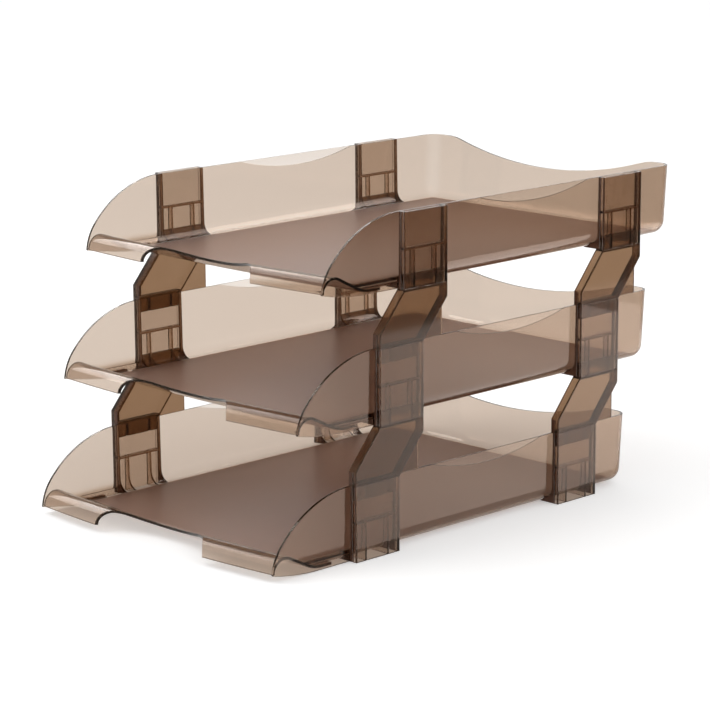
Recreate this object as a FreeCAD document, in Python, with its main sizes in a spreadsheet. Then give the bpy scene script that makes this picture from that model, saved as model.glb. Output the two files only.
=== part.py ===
import FreeCAD, Part
import math
import os
from FreeCAD import Placement, Rotation, Vector

# Three-tier letter tray. Three identical open-fronted trays stand on each other on eight
# push-in risers, and each tray sits a little further back than the one below it.
# Millimetres. X runs to the right seen from the front, Y to the rear, Z up. The origin is
# the middle of the footprint of the whole stack, on the surface it stands on. Every form
# is drawn first in the frame of one tray: x 0 on its centre line, y 0 at the front ends of
# its side walls and z 0 under its feet.

# Driving dimensions

SIZES = [
    ("tray_width", 256.0, "outside the side walls, at the rim"),
    ("tray_length", 375.0, "front ends of the side walls to the rear rim"),
    ("tray_height", 55.0, "underside of the feet to the rim"),
    ("wall", 1.8, "thickness of walls, floor and front hump"),
    ("foot_drop", 1.6, "floor underside above the feet"),
    ("side_draft", 0.8, "lean of the side walls, degrees"),
    ("rear_draft", 3.5, "lean of the rear wall, degrees"),
    ("corner_radius", 11.0, "outside rounding of the rear corners and of the base"),
    ("skirt_gap", 0.3, "lower edge of the front cheeks above the feet"),
    ("cheek_radius", 86.0, "upper arc of the front end of a side wall"),
    ("cheek_turn", 50.0, "angle that the upper arc turns through"),
    ("cheek_tip_low", 5.2, "lower end of the side wall's front edge"),
    ("cheek_tip_high", 6.4, "upper end of the side wall's front edge"),
    ("cheek_sweep", 42.0, "length over which the lower edge rises to the tip"),
    ("crest_height", 16.5, "top of the front hump above the feet"),
    ("hump_slope", 27.0, "slope of the rear side of the hump, degrees"),
    ("hump_foot_radius", 30.0, "rounding from floor to slope"),
    ("hump_top_radius", 12.0, "rounding from slope to crest"),
    ("lip_radius", 10.8, "rounding of the rolled front lip"),
    ("lip_setback", 0.7, "front of the lip behind the side walls' ends, at the walls"),
    ("lip_bow", 7.0, "how far the lip bows forward at the middle"),
    ("notch_half_low", 60.5, "half width of the front notch at the lip's lower edge"),
    ("notch_half_high", 50.0, "half width of the front notch at the crest"),
    ("notch_depth", 13.0, "reach of the notch behind the crest, at its middle"),
    ("dip_depth", 16.2, "depth of the dip in the rear rim"),
    ("dip_radius", 335.0, "middle arc of the dip"),
    ("dip_end_radius", 45.0, "arcs that lead the dip back to the rim"),
    ("scoop_centre", 216.0, "middle of the thin area of a side rim"),
    ("scoop_half_length", 60.0, "half length of the thin area"),
    ("scoop_height", 8.5, "depth of the thin area below the rim"),
    ("scoop_cut", 0.8, "how much thinner the wall is there"),
    ("socket_front", 74.0, "front side of the front sockets"),
    ("socket_pitch", 213.0, "front sockets to rear sockets"),
    ("socket_length", 43.0, "length of a socket along the wall"),
    ("socket_reach", 5.5, "how far a socket stands out from the rim"),
    ("socket_skin", 2.0, "thickness of a socket's outer plate"),
    ("socket_side", 2.0, "thickness of a socket's end plates"),
    ("web_height", 27.5, "underside of the web between upper and lower socket"),
    ("web_thickness", 1.5, "thickness of that web"),
    ("rib_offset", 11.0, "ribs of the lower socket from its middle"),
    ("rib_thickness", 1.5, "thickness of those ribs"),
    ("fin_reach", 12.0, "how far ribs and end plates run under the floor"),
    ("tier_pitch", 94.3, "height from tray to tray"),
    ("tier_setback", 24.6, "how far each tray sits behind the one below"),
    ("riser_step", 10.4, "upright part of a riser's front edge"),
    ("riser_skin", 2.0, "thickness of a riser's outer plate"),
    ("riser_rim", 2.0, "thickness of a riser's rim"),
    ("plug_length", 10.5, "how far a riser's tongues enter a socket"),
    ("plug_gap", 0.25, "clearance of a tongue in its socket"),
    ("rib_gap", 0.35, "clearance of a tongue beside a rib"),
]

doc = FreeCAD.newDocument("letter_tray")
sheet = doc.addObject("Spreadsheet::Sheet", "sizes")
for row, (alias, value, note) in enumerate(SIZES, start=1):
    sheet.set(f"A{row}", str(value))
    sheet.setAlias(f"A{row}", alias)
    sheet.set(f"B{row}", note)
doc.recompute()


def size(alias):
    return float(sheet.get(alias))


# Values that follow from the driving dimensions

half_width = size("tray_width") / 2
rim = size("tray_height")
wall = size("wall")
floor_top = size("foot_drop") + wall
inner_half = half_width - wall
outer_face = half_width + size("socket_reach")
skin_inner = outer_face - size("socket_skin")
socket_starts = [size("socket_front"), size("socket_front") + size("socket_pitch")]
overshoot = 20.0
overlap = 2.0
embed = wall / 4


def half_width_at(height):
    return half_width - (rim - height) * math.tan(math.radians(size("side_draft")))


def rear_at(height):
    return size("tray_length") - (rim - height) * math.tan(math.radians(size("rear_draft")))


# Sketch helpers

def start_sketch(body, name, role, offset=None):
    plane = [item for item in body.Origin.OriginFeatures if item.Role == role][0]
    sketch = body.newObject("Sketcher::SketchObject", name)
    sketch.AttachmentSupport = [(plane, "")]
    sketch.MapMode = "FlatFace"
    if isinstance(offset, str):
        sketch.setExpression("AttachmentOffset.Base.z", offset)
    elif offset is not None:
        sketch.AttachmentOffset = Placement(Vector(0, 0, offset), Rotation())
    return sketch


def line(start, end):
    return Part.LineSegment(Vector(start[0], start[1], 0), Vector(end[0], end[1], 0))


def arc(start, middle, end):
    points = [Vector(point[0], point[1], 0) for point in (start, middle, end)]
    return Part.Arc(*points)


def arc_about(centre, radius, start_angle, end_angle):
    angles = (start_angle, (start_angle + end_angle) / 2, end_angle)
    return arc(*[polar(centre, radius, angle) for angle in angles])


def polar(centre, radius, angle):
    turn = math.radians(angle)
    return (centre[0] + radius * math.cos(turn), centre[1] + radius * math.sin(turn))


def draw(sketch, curves):
    for curve in curves:
        sketch.addGeometry(curve, False)


def draw_path(sketch, points):
    draw(sketch, [line(start, end) for start, end in zip(points, points[1:])])


def polygon(sketch, points):
    draw_path(sketch, points + points[:1])


def rectangle(sketch, low, high):
    polygon(sketch, [low, (high[0], low[1]), high, (low[0], high[1])])


def extrude(body, kind, name, sketch, length, flip=False, both_ways=False):
    feature = body.newObject(kind, name)
    feature.Profile = sketch
    if isinstance(length, str):
        feature.setExpression("Length", length)
    else:
        feature.Length = length
    feature.Reversed = flip
    if both_ways:
        feature.SideType = "Symmetric"
    sketch.Visibility = False
    return feature


def pad(body, name, sketch, length, flip=False, both_ways=False):
    return extrude(body, "PartDesign::Pad", name, sketch, length, flip, both_ways)


def pocket(body, name, sketch, length, flip=False, both_ways=False):
    return extrude(body, "PartDesign::Pocket", name, sketch, length, flip, both_ways)


# Tray: tub

def add_block(body, name, inset, above, ahead, radius):
    """Solid block with leaning sides, a leaning rear and rounded base and rear corners."""
    low = size("foot_drop") + inset
    high = rim + above
    front = start_sketch(body, f"{name}_front", "XZ_Plane", ahead)
    section = [(half_width_at(low) - inset, low), (half_width_at(high) - inset, high)]
    mirrored = [(-x, z) for x, z in reversed(section)]
    polygon(front, section + mirrored)
    pad(body, f"{name}_block", front, size("tray_length") + ahead, flip=True)
    side = start_sketch(body, f"{name}_rear", "YZ_Plane")
    behind = size("tray_length") + overshoot
    lean = [(rear_at(z) - inset, z) for z in (0, high)]
    polygon(side, lean + [(behind, high), (behind, 0)])
    pocket(body, f"{name}_rear_lean", side, "2 * sizes.tray_width", both_ways=True)
    doc.recompute()
    base = body.Tip
    rounding = body.newObject("PartDesign::Fillet", f"{name}_rounding")
    rounding.Base = (base, matching(base.Shape, "Edge", is_rounded_edge))
    rounding.setExpression("Radius", radius)
    doc.recompute()


def matching(shape, kind, test):
    """Names of the edges or faces whose bounding box passes a test."""
    items = getattr(shape, f"{kind}s")
    return [f"{kind}{place}" for place, item in enumerate(items, start=1) if test(item.BoundBox)]


def is_rounded_edge(box):
    rear_corner = box.ZLength > rim / 2 and box.YMin > size("tray_length") / 2
    base_edge = box.ZLength < 0.01 and box.ZMin < rim / 2 and box.YMax > 0
    return rear_corner or base_edge


def combine(body, name, kind, other):
    joined = body.newObject("PartDesign::Boolean", name)
    joined.Type = kind
    joined.setObjects([other])


def build_hollow():
    body = doc.addObject("PartDesign::Body", "hollow_form")
    radius = "sizes.corner_radius - sizes.wall"
    add_block(body, "hollow", wall, overshoot, 2 * overshoot, radius)
    return body


def add_tub(body):
    """Walls and floor of one thickness, open at the top and the front."""
    add_block(body, "tub", 0.0, 0.0, overshoot, "sizes.corner_radius")
    combine(body, "hollow", "Cut", build_hollow())


def add_skirts(body):
    """The side walls run down past the floor in front of the front sockets."""
    sketch = start_sketch(body, "skirt_section", "XZ_Plane", overshoot)
    low = size("skirt_gap")
    high = size("foot_drop") + size("corner_radius") + wall
    for side in (1, -1):
        outside = [(half_width_at(low), low), (half_width_at(high), high)]
        inside = [(half_width_at(high) - wall, high), (half_width_at(low) - wall, low)]
        polygon(sketch, [(side * x, z) for x, z in outside + inside])
    reach = size("socket_front") + size("socket_side") / 2
    pad(body, "skirts", sketch, reach + overshoot, flip=True)


# Tray: sockets along the side walls

def plate_section(sketch, side, top):
    """Section of an end plate or rib, from under the floor round the base to the outer face."""
    low = size("foot_drop")
    radius = size("corner_radius")
    lean = size("side_draft")
    middle = radius - wall / 2
    run = math.tan(math.radians(45 - lean / 2)) * radius
    centre_x = half_width_at(low) - run
    points = [polar((centre_x, low + radius), middle, angle) for angle in (-90, -45, -lean)]
    inner = inner_half - size("fin_reach")
    mid_floor = low + wall / 2
    outline = [points[2], (half_width_at(top) - wall / 2, top), (outer_face - embed, top)]
    outline += [(outer_face - embed, 0), (inner, 0), (inner, mid_floor), points[0]]
    draw(sketch, [arc(*[(side * x, z) for x, z in points])])
    draw_path(sketch, [(side * x, z) for x, z in outline])


def rib_starts(start):
    middle = start + size("socket_length") / 2
    half = size("rib_thickness") / 2
    return [middle + way * size("rib_offset") - half for way in (-1, 1)]


def add_plate(body, name, start, top, thickness):
    sketch = start_sketch(body, f"{name}_section", "XZ_Plane", -start)
    for side in (1, -1):
        plate_section(sketch, side, top)
    pad(body, name, sketch, thickness, flip=True)


def add_socket(body, name, start):
    """Pair of sockets, left and right: outer plates, end plates, lower ribs and webs."""
    length = size("socket_length")
    ends = (start, start + length - size("socket_side"))
    for end in ends:
        add_plate(body, f"{name}_end_plate", end, rim, "sizes.socket_side")
    for rib in rib_starts(start):
        top = size("web_height") + embed
        add_plate(body, f"{name}_rib", rib, top, "sizes.rib_thickness")
    skins = start_sketch(body, f"{name}_skin_plan", "XY_Plane")
    webs = start_sketch(body, f"{name}_web_plan", "XY_Plane", "sizes.web_height")
    root = half_width_at(size("web_height")) - wall / 2
    for side in (1, -1):
        rectangle(skins, (side * skin_inner, start), (side * outer_face, start + length))
        rectangle(webs, (side * root, start + embed), (side * (skin_inner + embed), start + length - embed))
    pad(body, f"{name}_skin", skins, "sizes.tray_height")
    pad(body, f"{name}_web", webs, "sizes.web_thickness")


# Tray: front hump with its rolled lip

def crest_reach():
    return size("lip_setback") + size("lip_radius")


def hump_start():
    """Distance behind the front ends at which the flat floor turns into the hump."""
    slope = math.radians(size("hump_slope"))
    rise = size("crest_height") - floor_top
    foot_radius = size("hump_foot_radius")
    top_radius = size("hump_top_radius")
    turned = (foot_radius + top_radius) * (1 - math.cos(slope))
    straight = (rise - turned) / math.sin(slope)
    across_arcs = (foot_radius + top_radius) * math.sin(slope)
    return crest_reach() + across_arcs + straight * math.cos(slope)


def draw_hump(sketch, bow, depth, flat):
    """Floor to crest, at a depth below the upper surface of the hump."""
    slope = size("hump_slope")
    start_y = hump_start() - bow
    foot_centre = (start_y, floor_top + size("hump_foot_radius"))
    top_centre = (crest_reach() - bow, size("crest_height") - size("hump_top_radius"))
    foot_radius = size("hump_foot_radius") + depth
    top_radius = size("hump_top_radius") - depth
    flat_end = (start_y + flat, floor_top - depth)
    foot_start = (start_y, floor_top - depth)
    draw(sketch, [
        line(flat_end, foot_start),
        arc_about(foot_centre, foot_radius, -90, -90 - slope),
        line(polar(foot_centre, foot_radius, -90 - slope), polar(top_centre, top_radius, 90 - slope)),
        arc_about(top_centre, top_radius, 90 - slope, 90),
    ])
    return flat_end, polar(top_centre, top_radius, 90)


def draw_lip(sketch, bow, depth):
    """Crest to lower edge of the lip, a quarter circle."""
    centre = (crest_reach() - bow, size("crest_height") - size("lip_radius"))
    radius = size("lip_radius") - depth
    draw(sketch, [arc_about(centre, radius, 90, 180)])
    return polar(centre, radius, 180)


def build_clearance():
    """Space under the hump and ahead of its crest, where the tub is cut away."""
    body = doc.addObject("PartDesign::Body", "clearance_form")
    sketch = start_sketch(body, "hump_clearance", "YZ_Plane")
    flat_end, crest = draw_hump(sketch, 0.0, wall / 2, overlap)
    ahead = -2 * overshoot
    corners = [(ahead, crest[1]), (ahead, -overshoot), (flat_end[0], -overshoot)]
    draw_path(sketch, [crest] + corners + [flat_end])
    pad(body, "clearance", sketch, "2 * sizes.tray_width", both_ways=True)
    trim_sides(body, "clearance", wall)
    return body


def swing_radius():
    """Radius of the lip's front in plan, which bows forward between the side walls."""
    bow = size("lip_bow")
    return (inner_half ** 2 + bow ** 2) / (2 * bow)


def swing_axis():
    return size("lip_setback") - size("lip_bow") + swing_radius()


def build_hump():
    """Sheet of the hump and lip, swung about a far upright axis so that it bows forward."""
    body = doc.addObject("PartDesign::Body", "hump_form")
    bow = size("lip_bow")
    axis_y = swing_axis()
    section = start_sketch(body, "hump_section", "YZ_Plane")
    flat_ends = []
    lip_ends = []
    for depth in (0.0, wall):
        flat_ends.append(draw_hump(section, bow, depth, bow + overlap)[0])
        lip_ends.append(draw_lip(section, bow, depth))
    draw(section, [line(*flat_ends), line(*lip_ends)])
    section.addGeometry(line((axis_y, 0), (axis_y, rim)), True)
    hump = body.newObject("PartDesign::Revolution", "hump")
    hump.Profile = section
    hump.ReferenceAxis = (section, ["Axis0"])
    hump.Midplane = True
    hump.Angle = 2 * math.degrees(math.asin((half_width + bow) / (swing_radius() - hump_start())))
    trim_sides(body, "hump", wall / 2)
    cut_front_notch(body)
    return body


def trim_sides(body, name, inset):
    """Ends a form along planes that lean as the side walls do, inside their outer faces."""
    sketch = start_sketch(body, f"{name}_ends", "XZ_Plane")
    reach = 2 * size("tray_width")
    for side in (1, -1):
        inside = [(half_width_at(z) - inset, z) for z in (-2 * overshoot, rim)]
        outside = [(reach, rim), (reach, -2 * overshoot)]
        polygon(sketch, [(side * x, z) for x, z in inside + outside])
    pocket(body, f"{name}_trimmed_ends", sketch, "2 * sizes.tray_length", both_ways=True)


def cut_front_notch(body):
    """The lip is left away in the middle, with slanted ends and an arc behind the crest."""
    sketch = start_sketch(body, "notch_plan", "XY_Plane", -overshoot)
    low = size("notch_half_low")
    high = size("notch_half_high")
    crest_y = crest_reach() - size("lip_bow")
    lip_y = crest_y - size("lip_radius")
    front = lip_y - overshoot
    left = [(-high, crest_y), (-low, lip_y), (-low, front)]
    right = [(low, front), (low, lip_y), (high, crest_y)]
    draw_path(sketch, left + right)
    draw(sketch, [arc((high, crest_y), (0, crest_y + size("notch_depth")), (-high, crest_y))])
    pocket(body, "front_notch", sketch, rim, flip=True)


# Tray: outlines of the walls

def shape_cheeks(body):
    """Front ends of the side walls: a long arc falls from the rim to the tip."""
    start = size("socket_front")
    radius = size("cheek_radius")
    turn = size("cheek_turn")
    centre = (start, rim - radius)
    knee = polar(centre, radius, 90 + turn)
    tip = (0.0, size("cheek_tip_high"))
    way = (math.sin(math.radians(turn)), -math.cos(math.radians(turn)))
    gap = (knee[0] - tip[0], knee[1] - tip[1])
    along = gap[0] * way[0] + gap[1] * way[1]
    tip_radius = -(gap[0] ** 2 + gap[1] ** 2) / (2 * along)
    tip_centre = (knee[0] + tip_radius * way[0], knee[1] + tip_radius * way[1])
    knee_angle = math.degrees(math.atan2(knee[1] - tip_centre[1], knee[0] - tip_centre[0]))
    tip_angle = math.degrees(math.atan2(tip[1] - tip_centre[1], tip[0] - tip_centre[0]))
    low_tip = (0.0, size("cheek_tip_low"))
    sweep = size("cheek_sweep")
    rise = size("cheek_tip_low") - size("skirt_gap")
    sweep_radius = (sweep ** 2 + rise ** 2) / (2 * rise)
    sweep_end = (sweep, size("skirt_gap"))
    sweep_angle = math.degrees(math.asin(sweep / sweep_radius))
    sweep_centre = (sweep, size("skirt_gap") + sweep_radius)
    ahead = -2 * overshoot
    depth = outer_face + overshoot - (half_width_at(0) - wall)
    for side in (1, -1):
        sketch = start_sketch(body, "cheek_profile", "YZ_Plane", side * (outer_face + overshoot))
        draw(sketch, [arc_about(centre, radius, 90, 90 + turn)])
        draw(sketch, [arc_about(tip_centre, tip_radius, knee_angle, tip_angle % 360)])
        draw(sketch, [line(tip, low_tip)])
        draw(sketch, [arc_about(sweep_centre, sweep_radius, -90 - sweep_angle, -90)])
        draw_path(sketch, [
            sweep_end, (sweep, -overshoot), (ahead, -overshoot), (ahead, rim + overshoot),
            (start, rim + overshoot), (start, rim),
        ])
        pocket(body, "cheek", sketch, depth, flip=side < 0)


def cut_rear_dip(body):
    """Shallow dip in the rear rim, with ends that lead back to the rim."""
    radius = size("dip_radius")
    end_radius = size("dip_end_radius")
    turn = math.degrees(math.acos(1 - size("dip_depth") / (radius + end_radius)))
    centre = (0.0, rim - size("dip_depth") + radius)
    end_x = (radius + end_radius) * math.sin(math.radians(turn))
    sketch = start_sketch(body, "dip_profile", "XZ_Plane", -(size("tray_length") + wall))
    draw(sketch, [arc_about(centre, radius, -90 - turn, -90 + turn)])
    for side in (1, -1):
        end_centre = (side * end_x, rim - end_radius)
        draw(sketch, [arc_about(end_centre, end_radius, 90, 90 + side * turn)])
    above = rim + overshoot
    draw_path(sketch, [(-end_x, rim), (-end_x, above), (end_x, above), (end_x, rim)])
    pocket(body, "rear_dip", sketch, size("corner_radius") + 3 * wall, flip=True)


def thin_side_rims(body):
    """A shallow scoop on the inside makes the middle of each side rim thinner."""
    half = size("scoop_half_length")
    centre_y = size("scoop_centre")
    low = (centre_y, rim - size("scoop_height"))
    above = rim + wall
    for side in (1, -1):
        start = inner_half - 2 * wall
        sketch = start_sketch(body, "scoop_profile", "YZ_Plane", side * start)
        ends = [(centre_y - half, rim), (centre_y + half, rim)]
        draw(sketch, [arc(ends[0], low, ends[1])])
        draw_path(sketch, [ends[1], (ends[1][0], above), (ends[0][0], above), ends[0]])
        pocket(body, "scoop", sketch, "2 * sizes.wall + sizes.scoop_cut", flip=side > 0)


def build_tray():
    body = doc.addObject("PartDesign::Body", "tray_form")
    add_tub(body)
    add_skirts(body)
    combine(body, "under_hump", "Cut", build_clearance())
    combine(body, "front_hump", "Fuse", build_hump())
    shape_cheeks(body)
    for name, start in zip(("front_socket", "rear_socket"), socket_starts):
        add_socket(body, name, start)
    cut_rear_dip(body)
    thin_side_rims(body)
    doc.recompute()
    return body


# Riser

def inset(points, distance):
    """Moves each side of a clockwise outline inwards by a distance."""
    moved = []
    count = len(points)
    for index in range(count):
        before, here, after = points[index - 1], points[index], points[(index + 1) % count]
        first = offset_side(before, here, distance)
        second = offset_side(here, after, distance)
        moved.append(crossing(first, second))
    return moved


def offset_side(start, end, distance):
    length = math.hypot(end[0] - start[0], end[1] - start[1])
    normal = ((end[1] - start[1]) / length, -(end[0] - start[0]) / length)
    shift = (normal[0] * distance, normal[1] * distance)
    return (start[0] + shift[0], start[1] + shift[1]), (end[0] + shift[0], end[1] + shift[1])


def crossing(first, second):
    (ax, ay), (bx, by) = first
    (cx, cy), (dx, dy) = second
    across = (bx - ax) * (dy - cy) - (by - ay) * (dx - cx)
    share = ((cx - ax) * (dy - cy) - (cy - ay) * (dx - cx)) / across
    return (ax + share * (bx - ax), ay + share * (by - ay))


def riser_corners():
    """Clockwise outline of a riser seen from its side, above the lower tray's rim."""
    height = size("tier_pitch") - rim
    step = size("riser_step")
    setback = size("tier_setback")
    length = size("socket_length")
    return [
        (0.0, 0.0), (0.0, step), (setback, height), (setback + length, height),
        (setback + length, height - step), (length, 0.0),
    ]


def tongue_strips():
    """Stretches along Y of the three tongues, which pass the two ribs of a socket."""
    low = size("socket_side") + size("plug_gap")
    high = size("socket_length") - low
    middle = size("socket_length") / 2
    half_slot = size("rib_thickness") / 2 + size("rib_gap")
    marks = [low]
    for way in (-1, 1):
        slot = middle + way * size("rib_offset")
        marks += [slot - half_slot, slot + half_slot]
    marks.append(high)
    return list(zip(marks[0::2], marks[1::2]))


def add_tongues(body, side, name, shift, height, upward):
    sketch = start_sketch(body, f"{name}_plan", "XY_Plane", height)
    inside = side * (half_width + size("plug_gap"))
    outside = side * (skin_inner - size("plug_gap"))
    for low, high in tongue_strips():
        rectangle(sketch, (inside, low + shift), (outside, high + shift))
    pad(body, name, sketch, "sizes.plug_length", flip=not upward)


def build_riser(side_name, side):
    body = doc.addObject("PartDesign::Body", f"{side_name}_riser_form")
    corners = riser_corners()
    outside = side * outer_face
    depth = outer_face - inner_half
    profile = start_sketch(body, "riser_profile", "YZ_Plane", outside)
    polygon(profile, corners)
    pad(body, "riser_block", profile, depth, flip=side > 0)
    inner = start_sketch(body, "riser_hollow_profile", "YZ_Plane", side * inner_half)
    polygon(inner, inset(corners, size("riser_rim")))
    pocket(body, "riser_hollow", inner, depth - size("riser_skin"), flip=side > 0)
    gusset = start_sketch(body, "gusset_profile", "YZ_Plane", side * inner_half)
    polygon(gusset, [corners[5], corners[4], (corners[4][0], 0.0)])
    pad(body, "gusset", gusset, "sizes.wall", flip=side < 0)
    add_tongues(body, side, "lower_tongues", 0.0, 0.0, False)
    top = size("tier_pitch") - rim
    add_tongues(body, side, "upper_tongues", size("tier_setback"), top, True)
    doc.recompute()
    return body


# The stack

def place(form, label, y, z):
    node = doc.addObject("Part::Feature", label)
    node.Shape = form.Shape
    node.Placement = Placement(Vector(0, y, z), Rotation())
    return node


def build_stack():
    depth = size("tray_length") + 2 * size("tier_setback") + front_reach()
    front = front_reach() - depth / 2
    tray = build_tray()
    risers = {"left": build_riser("left", -1), "right": build_riser("right", 1)}
    nodes = []
    for tier, name in enumerate(("bottom", "middle", "top")):
        y = front + tier * size("tier_setback")
        nodes.append(place(tray, f"{name}_tray", y, tier * size("tier_pitch")))
    for tier, name in enumerate(("lower", "upper")):
        for end, start in zip(("front", "rear"), socket_starts):
            for side_name, form in risers.items():
                y = front + tier * size("tier_setback") + start
                z = tier * size("tier_pitch") + rim
                nodes.append(place(form, f"{name}_riser_{end}_{side_name}", y, z))
    return [tray] + list(risers.values()), nodes


def front_reach():
    """How far the bowed lips stand ahead of the side walls' front ends."""
    return math.sqrt(swing_radius() ** 2 - size("notch_half_low") ** 2) - swing_axis()


def check(forms, nodes):
    for item in doc.Objects:
        if "Invalid" in item.State or "Error" in item.State:
            raise RuntimeError(f"{item.Name} failed: {item.State}")
    for node in forms + nodes:
        if node.Shape.isNull() or not node.Shape.isValid():
            raise RuntimeError(f"{node.Label} has no valid shape")


forms, nodes = build_stack()
doc.recompute()
check(forms, nodes)
os.makedirs("parts", exist_ok=True)
for node in nodes:
    node.Shape.exportStep(f"parts/{node.Label}.step")
    print(f"{node.Label}: {node.Shape.Volume / 1000:.1f} cm3, {len(node.Shape.Solids)} solid")
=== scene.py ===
import math

import bpy
from mathutils import Matrix, Vector

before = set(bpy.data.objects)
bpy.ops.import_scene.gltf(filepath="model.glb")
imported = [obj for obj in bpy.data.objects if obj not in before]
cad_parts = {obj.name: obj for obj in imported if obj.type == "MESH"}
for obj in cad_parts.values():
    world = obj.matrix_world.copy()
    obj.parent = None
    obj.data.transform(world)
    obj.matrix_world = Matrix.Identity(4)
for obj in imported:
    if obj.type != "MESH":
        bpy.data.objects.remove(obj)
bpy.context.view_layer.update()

# Three-tier letter tray of clear smoke-brown polystyrene: three equal trays on eight push-in
# risers. All 11 CAD nodes show as they are, so this script makes their plastics, the stage, the
# lights and the camera. Lengths are in metres. X runs to the right seen from the open fronts,
# Y to the rear and Z up, and the stack stands on z 0.

MM = 0.001
STACK_MIDDLE = (0.0, 0.0, 0.1)


# Where the finishes lie on the stack

# Each tier stands a pitch above and a setback behind the tier below.
TIER_PITCH = 94.3 * MM
TIER_SETBACK = 24.6 * MM

# A tray floor's two faces lie in this band above the foot of their tier, and lean by less
# than about ten degrees.
FLOOR_BAND = (1.0 * MM, 4.4 * MM)
FLOOR_BAND_BLUR = 0.5 * MM
LEVEL_FACE = 0.985
LEVEL_FACE_BLUR = 0.008

# The bottom tray's front sockets are centred 95.5 mm behind the front ends of its side walls,
# and its rear sockets one socket pitch further back.
WALL_FRONT = -209.75 * MM
SOCKET_MIDDLE = WALL_FRONT + 95.5 * MM
SOCKET_PITCH = 213.0 * MM

# A socket's two end plates lie this far from its middle, and face front or rear. Across the
# stack, the clear middle of a plate lies between its two corners, which get painted shade.
END_PLATES = (17.0 * MM, 30.0 * MM)
END_PLATES_BLUR = 0.5 * MM
CROSS_FACE = 0.9
CROSS_FACE_BLUR = 0.05
PLATE_MIDDLE = (129.6 * MM, 132.2 * MM)
PLATE_MIDDLE_BLUR = 0.4 * MM


# Plastics

# What sets the two plastics apart. Dye is the colour that light takes on inside and density how
# fast, per metre. Tint is the skin's own brown, clearness the share of light that the skin lets
# in, and gleam the strength and hue of its reflection.
TRAY_LOOK = {
    "dye": "#C4A681",
    "density": 560.0,
    "tint": "#FFFFFF",
    "clearness": 1.0,
    "roughness": 0.03,
    "gleam": "#DDBFA8",
}
RISER_LOOK = {
    "dye": "#C1A065",
    "density": 460.0,
    "tint": "#AC937D",
    "clearness": 0.95,
    "roughness": 0.05,
    "gleam": "#8E7B6C",
}

# Polystyrene's IOR is 1.59, and it is lowered here until the walls mirror as weakly as in the
# photograph. The specular level is for the share of the skin that isn't clear.
POLYSTYRENE_IOR = 1.45
SPECULAR_LEVEL = 0.28

# Satin floor faces, whose brown varies a little in clouds as wide as a hand.
FLOOR_COLOURS = ("#D8B5A4", "#E4C3B3")
FLOOR_CLEARNESS = 0.7
FLOOR_ROUGHNESS = 0.36
CLOUD_WIDTH = 111.1 * MM

# Spark erosion leaves pits of about 0.05 mm, too fine to show, so they are drawn as 0.9 mm.
GRAIN_WIDTH = 0.9 * MM
GRAIN_DEPTH = 0.15 * MM
GRAIN_STRENGTH = 0.35

# Long waves that the flow of the melt leaves in the polished walls.
FLOW_WIDTH = 71.4 * MM
FLOW_DEPTH = 0.6 * MM
FLOW_STRENGTH = 0.08

# The corners of the sockets' end plates get painted shade: a dark brown, less clear skin that
# stands in for the dark lines which light bent and lost in the thick plastic draws there. Every
# edge is a little soft.
# Painted shade: the colour and clearness given to the end plates' corners.
PAINTED_SHADE_COLOUR = "#5E4032"
PAINTED_SHADE_CLEARNESS = 0.45
EDGE_RADIUS = 0.7 * MM
EDGE_SAMPLES = 4


# Stage, lights and camera

FLOOR_REACH = 6.0
FLOOR_GAP = 0.2 * MM
TABLE_COLOUR = "#F4F4F4"
TABLE_GLOW = 0.35

# A light's place, the point that it faces, its size and its power in watts. The second group
# are lights that show only as a gleam on the plastic.
LIGHTS = {
    "key": ((-1.2, -1.6, 2.6), STACK_MIDDLE, (2.5, 2.5), 30.0),
    "fill": ((2.4, -0.6, 1.4), STACK_MIDDLE, (2.0, 2.0), 16.0),
}
GLEAMS = {
    "rear_gloss": ((0.1, 1.3, 1.5), STACK_MIDDLE, (1.5, 1.5), 30.0),
    "left_gloss": ((-1.4, 0.1, 1.5), STACK_MIDDLE, (1.5, 1.5), 30.0),
    "low_gloss": ((0.40, 0.22, 0.003), (0.40, 0.22, 1.0), (0.50, 0.86), 2.8),
}

# How often light may be passed on before a gleam stops counting: the low one is seen only in
# the faces that mirror it straight to the eye.
MANY_BOUNCES = 32
GLEAM_BOUNCES = {"rear_gloss": MANY_BOUNCES, "left_gloss": MANY_BOUNCES, "low_gloss": 1}

# A flag of grey card lies on the table, to the right of the stack.
FLAG_X = (0.66, 1.3)
FLAG_Y = (0.0, 1.6)
FLAG_HEIGHT = 4 * MM
FLAG_COLOUR = "#6E655E"

# Tent light at the horizon, overhead and behind the camera. It fades from horizon to overhead
# between these sines of a gaze's elevation, and from behind to full between these cosines of
# its angle to the tent's opening, at the rear left.
TENT_LIGHT = {"horizon": 1.1, "overhead": 0.7, "behind": 0.6}
TENT_RISE = (0.1, 0.8)
TENT_TURN = (-0.9, 0.3)
TENT_OPENING = math.radians(45.0)

# The photograph's view, from a fit to the corners of all three trays: angles in degrees, the
# distance and the point looked at in millimetres, and the focal length in pixels.
CAMERA = {
    "azimuth": 45.6,
    "elevation": 12.51,
    "roll": -0.39,
    "focal_pixels": 2745.0,
    "distance": 2080.7,
    "target": (3.35, -8.47, 109.43),
}
PHOTO_PIXELS = 710
SENSOR_WIDTH = 36.0
CAMERA_RANGE = (0.05, 50.0)


def linear(hex_colour):
    """sRGB hex value turned to the linear colour that the renderer works in."""
    values = [int(hex_colour[place:place + 2], 16) / 255 for place in (1, 3, 5)]
    return [v / 12.92 if v <= 0.04045 else ((v + 0.055) / 1.055) ** 2.4 for v in values] + [1.0]


def add_node(tree, kind, settings=None, inputs=None, links=None):
    """Adds a node with its properties, its input values and the outputs linked to its inputs."""
    node = tree.nodes.new(kind)
    for name, value in (settings or {}).items():
        setattr(node, name, value)
    for name, value in (inputs or {}).items():
        node.inputs[name].default_value = value
    for name, output in (links or {}).items():
        tree.links.new(output, node.inputs[name])
    return node


def new_material(name):
    material = bpy.data.materials.new(name)
    material.use_nodes = True
    material.node_tree.nodes.clear()
    return material, material.node_tree


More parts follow.
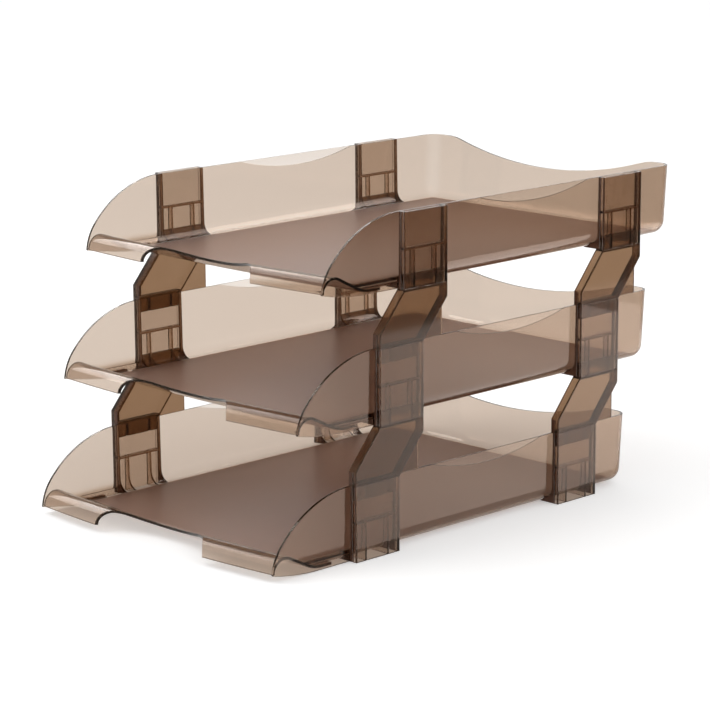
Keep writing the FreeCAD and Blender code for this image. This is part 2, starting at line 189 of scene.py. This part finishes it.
def step(tree, value, bound, blur, start=0.0):
    """A soft step at a bound, from start under it to 1 - start over it."""
    return add_node(
        tree, "ShaderNodeMapRange", {"interpolation_type": "SMOOTHSTEP"},
        {
            "From Min": bound - blur, "From Max": bound + blur,
            "To Min": start, "To Max": 1.0 - start,
        },
        {"Value": value},
    ).outputs["Result"]


def step_between(tree, value, bounds, blur):
    """1 where a value lies between two bounds, with a soft step at each."""
    low, high = bounds
    return add_node(
        tree, "ShaderNodeMath", {"operation": "MULTIPLY"},
        links={0: step(tree, value, low, blur), 1: step(tree, value, high, blur, start=1.0)},
    ).outputs[0]


def tray_floor(tree, spot, facing):
    """1 on both faces of the three flat tray floors, and 0 elsewhere."""
    height = add_node(
        tree, "ShaderNodeMath", {"operation": "FLOORED_MODULO"}, {1: TIER_PITCH},
        {0: spot.outputs["Z"]},
    )
    level = add_node(
        tree, "ShaderNodeMath", {"operation": "ABSOLUTE"}, links={0: facing.outputs["Z"]},
    )
    return add_node(
        tree, "ShaderNodeMath", {"operation": "MULTIPLY"},
        links={
            0: step(tree, level.outputs[0], LEVEL_FACE, LEVEL_FACE_BLUR),
            1: step_between(tree, height.outputs[0], FLOOR_BAND, FLOOR_BAND_BLUR),
        },
    ).outputs[0]


def plate_corner_painted_shade(tree, spot, facing):
    """1 at both corners of the side sockets' end plates, where shade is painted, and 0 elsewhere.
    """
    tiers_up = add_node(
        tree, "ShaderNodeMath", {"operation": "DIVIDE"}, {1: TIER_PITCH}, {0: spot.outputs["Z"]},
    )
    tier = add_node(tree, "ShaderNodeMath", {"operation": "FLOOR"}, links={0: tiers_up.outputs[0]})
    in_tier = add_node(
        tree, "ShaderNodeMath", {"operation": "MULTIPLY_ADD"}, {1: -TIER_SETBACK},
        {0: tier.outputs[0], 2: spot.outputs["Y"]},
    )
    from_front_socket = add_node(
        tree, "ShaderNodeMath", {"operation": "SUBTRACT"}, {1: SOCKET_MIDDLE},
        {0: in_tier.outputs[0]},
    )
    from_socket = add_node(
        tree, "ShaderNodeMath", {"operation": "WRAP"},
        {1: SOCKET_PITCH / 2, 2: -SOCKET_PITCH / 2}, {0: from_front_socket.outputs[0]},
    )
    distance, cross, side = (
        add_node(tree, "ShaderNodeMath", {"operation": "ABSOLUTE"}, links={0: output}).outputs[0]
        for output in (from_socket.outputs[0], facing.outputs["Y"], spot.outputs["X"])
    )
    plates = add_node(
        tree, "ShaderNodeMath", {"operation": "MULTIPLY"},
        links={
            0: step_between(tree, distance, END_PLATES, END_PLATES_BLUR),
            1: step(tree, cross, CROSS_FACE, CROSS_FACE_BLUR),
        },
    )
    outside_middle = add_node(
        tree, "ShaderNodeMath", {"operation": "SUBTRACT"}, {0: 1.0},
        {1: step_between(tree, side, PLATE_MIDDLE, PLATE_MIDDLE_BLUR)},
    )
    return add_node(
        tree, "ShaderNodeMath", {"operation": "MULTIPLY"},
        links={0: plates.outputs[0], 1: outside_middle.outputs[0]},
    ).outputs[0]


def smoke_polystyrene(name, look):
    """General-purpose polystyrene, dyed smoke brown and injection moulded in polished steel.

    Glassy and clear, so one wall looks pale over white, and what lies behind two or three
    walls, or is seen along a wall towards a cut edge, turns dark brown. The mould's floor
    faces are spark-eroded, which leaves the tray floors satin and clouded. The risers' mould
    is less well polished, so their gleam is weaker and a far shape is a little blurred through
    them.
    """
    material, tree = new_material(name)
    place = add_node(tree, "ShaderNodeTexCoord")
    spot = add_node(tree, "ShaderNodeSeparateXYZ", links={"Vector": place.outputs["Object"]})
    facing = add_node(tree, "ShaderNodeSeparateXYZ", links={"Vector": place.outputs["Normal"]})
    floor = tray_floor(tree, spot, facing)
    # Mask of the end plates' corners, which get painted shade.
    corners = plate_corner_painted_shade(tree, spot, facing)
    flow, grain, cloud = (
        add_node(
            tree, "ShaderNodeTexNoise",
            inputs={"Scale": 1 / width, "Detail": detail, "Roughness": unevenness},
            links={"Vector": place.outputs["Object"]},
        ).outputs["Fac"]
        for width, detail, unevenness in (
            (FLOW_WIDTH, 2.0, 0.4), (GRAIN_WIDTH, 3.0, 0.7), (CLOUD_WIDTH, 5.0, 0.6),
        )
    )

    soft_edge = add_node(
        tree, "ShaderNodeBevel", {"samples": EDGE_SAMPLES}, {"Radius": EDGE_RADIUS},
    )
    waves = add_node(
        tree, "ShaderNodeBump",
        inputs={"Strength": FLOW_STRENGTH, "Distance": FLOW_DEPTH},
        links={"Height": flow, "Normal": soft_edge.outputs["Normal"]},
    )
    grain_strength = add_node(
        tree, "ShaderNodeMath", {"operation": "MULTIPLY"}, {1: GRAIN_STRENGTH}, {0: floor},
    )
    surface = add_node(
        tree, "ShaderNodeBump",
        inputs={"Distance": GRAIN_DEPTH},
        links={
            "Strength": grain_strength.outputs[0],
            "Height": grain,
            "Normal": waves.outputs["Normal"],
        },
    )

    floor_colour = add_node(
        tree, "ShaderNodeMix", {"data_type": "RGBA"},
        {6: linear(FLOOR_COLOURS[0]), 7: linear(FLOOR_COLOURS[1])}, {0: cloud},
    )
    face_colour = add_node(
        tree, "ShaderNodeMix", {"data_type": "RGBA"}, {6: linear(look["tint"])},
        {0: floor, 7: floor_colour.outputs[2]},
    )
    # Painted shade: the end plates' corners are mixed towards a dark brown.
    colour = add_node(
        tree, "ShaderNodeMix", {"data_type": "RGBA"}, {7: linear(PAINTED_SHADE_COLOUR)},
        {0: corners, 6: face_colour.outputs[2]},
    )

    roughness, face_clearness, corner_shade_clearness = (
        add_node(
            tree, "ShaderNodeMapRange", inputs={"To Min": elsewhere, "To Max": there},
            links={"Value": mask},
        ).outputs["Result"]
        for mask, elsewhere, there in (
            (floor, look["roughness"], FLOOR_ROUGHNESS),
            (floor, look["clearness"], FLOOR_CLEARNESS),
            # Painted shade: the end plates' corners are made less clear.
            (corners, 1.0, PAINTED_SHADE_CLEARNESS),
        )
    )
    clearness = add_node(
        tree, "ShaderNodeMath", {"operation": "MULTIPLY"},
        links={0: face_clearness, 1: corner_shade_clearness},
    )

    clear_skin = add_node(
        tree, "ShaderNodeBsdfPrincipled",
        inputs={
            "IOR": POLYSTYRENE_IOR,
            "Specular IOR Level": SPECULAR_LEVEL,
            "Specular Tint": linear(look["gleam"]),
        },
        links={
            "Base Color": colour.outputs[2],
            "Roughness": roughness,
            "Transmission Weight": clearness.outputs[0],
            "Normal": surface.outputs["Normal"],
        },
    )
    dye = add_node(
        tree, "ShaderNodeVolumeAbsorption",
        inputs={"Color": linear(look["dye"]), "Density": look["density"]},
    )
    add_node(
        tree, "ShaderNodeOutputMaterial",
        links={"Surface": clear_skin.outputs["BSDF"], "Volume": dye.outputs["Volume"]},
    )
    return material


def opal_acrylic():
    """Cast opal white acrylic, sanded matt, softly lit from below so that shadows stay light."""
    material, tree = new_material("opal_acrylic")
    opal = add_node(
        tree, "ShaderNodeBsdfPrincipled",
        inputs={
            "Base Color": linear(TABLE_COLOUR),
            "Roughness": 0.9,
            "Specular IOR Level": 0.1,
            "Emission Color": linear("#FFFFFF"),
            "Emission Strength": TABLE_GLOW,
        },
    )
    add_node(tree, "ShaderNodeOutputMaterial", links={"Surface": opal.outputs["BSDF"]})
    return material


def grey_card():
    """Uncoated grey card, quite matt, so it shows in the plastic as an even tone."""
    material, tree = new_material("grey_card")
    card = add_node(
        tree, "ShaderNodeBsdfPrincipled",
        inputs={"Base Color": linear(FLAG_COLOUR), "Roughness": 0.95},
    )
    add_node(tree, "ShaderNodeOutputMaterial", links={"Surface": card.outputs["BSDF"]})
    return material


def add_sheet(name, x_range, y_range, height, material):
    """Adds a flat, level sheet of the stage."""
    (left, right), (front, rear) = x_range, y_range
    mesh = bpy.data.meshes.new(name)
    corners = [(left, front, 0), (right, front, 0), (right, rear, 0), (left, rear, 0)]
    mesh.from_pydata(corners, [], [(0, 1, 2, 3)])
    mesh.materials.append(material)
    sheet = bpy.data.objects.new(name, mesh)
    sheet.location.z = height
    bpy.context.scene.collection.objects.link(sheet)
    return sheet


def add_light(name, place, target, size, power):
    data = bpy.data.lights.new(name, "AREA")
    data.shape = "RECTANGLE"
    data.size, data.size_y = size
    data.energy = power
    light = bpy.data.objects.new(name, data)
    light.location = place
    light.rotation_mode = "QUATERNION"
    light.rotation_quaternion = (Vector(target) - Vector(place)).to_track_quat("-Z", "Y")
    bpy.context.scene.collection.objects.link(light)
    return light


def show_in_gloss_only(card):
    """Lets a light or a sheet show in reflections only, as a card out of the picture does."""
    card.visible_camera = False
    card.visible_diffuse = False
    card.visible_transmission = False


def add_world():
    """A white light tent, brightest round the horizon, greyer overhead and behind the camera."""
    world = bpy.data.worlds.new("light_tent")
    world.use_nodes = True
    tree = world.node_tree
    look = add_node(tree, "ShaderNodeTexCoord")
    rise = add_node(tree, "ShaderNodeSeparateXYZ", links={"Vector": look.outputs["Generated"]})
    turn = add_node(
        tree, "ShaderNodeVectorMath", {"operation": "DOT_PRODUCT"},
        {1: (-math.sin(TENT_OPENING), math.cos(TENT_OPENING), 0.0)},
        {0: look.outputs["Generated"]},
    )
    by_height, by_side = (
        add_node(
            tree, "ShaderNodeMapRange", {"interpolation_type": "SMOOTHSTEP"},
            {"From Min": low, "From Max": high, "To Min": at_low, "To Max": at_high},
            {"Value": value},
        ).outputs["Result"]
        for value, (low, high), at_low, at_high in (
            (rise.outputs["Z"], TENT_RISE, TENT_LIGHT["horizon"], TENT_LIGHT["overhead"]),
            (turn.outputs["Value"], TENT_TURN, TENT_LIGHT["behind"], 1.0),
        )
    )
    strength = add_node(
        tree, "ShaderNodeMath", {"operation": "MULTIPLY"}, links={0: by_height, 1: by_side},
    )
    background = tree.nodes["Background"]
    background.inputs["Color"].default_value = linear("#FFFFFF")
    tree.links.new(strength.outputs["Value"], background.inputs["Strength"])
    bpy.context.scene.world = world


def add_camera():
    azimuth = math.radians(CAMERA["azimuth"])
    elevation = math.radians(CAMERA["elevation"])
    back = Vector((
        math.sin(azimuth) * math.cos(elevation),
        -math.cos(azimuth) * math.cos(elevation),
        math.sin(elevation),
    ))
    data = bpy.data.cameras.new("photo_camera")
    data.sensor_width = SENSOR_WIDTH
    data.lens = SENSOR_WIDTH * CAMERA["focal_pixels"] / PHOTO_PIXELS
    data.clip_start, data.clip_end = CAMERA_RANGE
    camera = bpy.data.objects.new("photo_camera", data)
    target = Vector(CAMERA["target"]) * MM
    turn = (-back).to_track_quat("-Z", "Y").to_matrix().to_4x4()
    roll = Matrix.Rotation(math.radians(CAMERA["roll"]), 4, "Z")
    camera.matrix_world = Matrix.Translation(target + back * CAMERA["distance"] * MM) @ turn @ roll
    bpy.context.scene.collection.objects.link(camera)
    bpy.context.scene.camera = camera


tray_plastic = smoke_polystyrene("smoke_polystyrene_tray", TRAY_LOOK)
riser_plastic = smoke_polystyrene("smoke_polystyrene_riser", RISER_LOOK)
for name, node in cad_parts.items():
    node.data.materials.clear()
    node.data.materials.append(riser_plastic if "riser" in name else tray_plastic)

floor_range = (-FLOOR_REACH, FLOOR_REACH)
add_sheet("floor", floor_range, floor_range, -FLOOR_GAP, opal_acrylic())
add_world()
for name, settings in LIGHTS.items():
    add_light(name, *settings)
for name, settings in GLEAMS.items():
    gleam = add_light(name, *settings)
    gleam.data.cycles.max_bounces = GLEAM_BOUNCES[name]
    show_in_gloss_only(gleam)

# The flag only shows in the gloss of the right walls, and keeps the top ones deep.
flag = add_sheet("flag", FLAG_X, FLAG_Y, FLAG_HEIGHT, grey_card())
show_in_gloss_only(flag)
flag.visible_shadow = False
add_camera()

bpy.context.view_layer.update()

scene = bpy.context.scene
scene.view_settings.view_transform = "Standard"
scene.cycles.max_bounces = MANY_BOUNCES
scene.cycles.transmission_bounces = MANY_BOUNCES
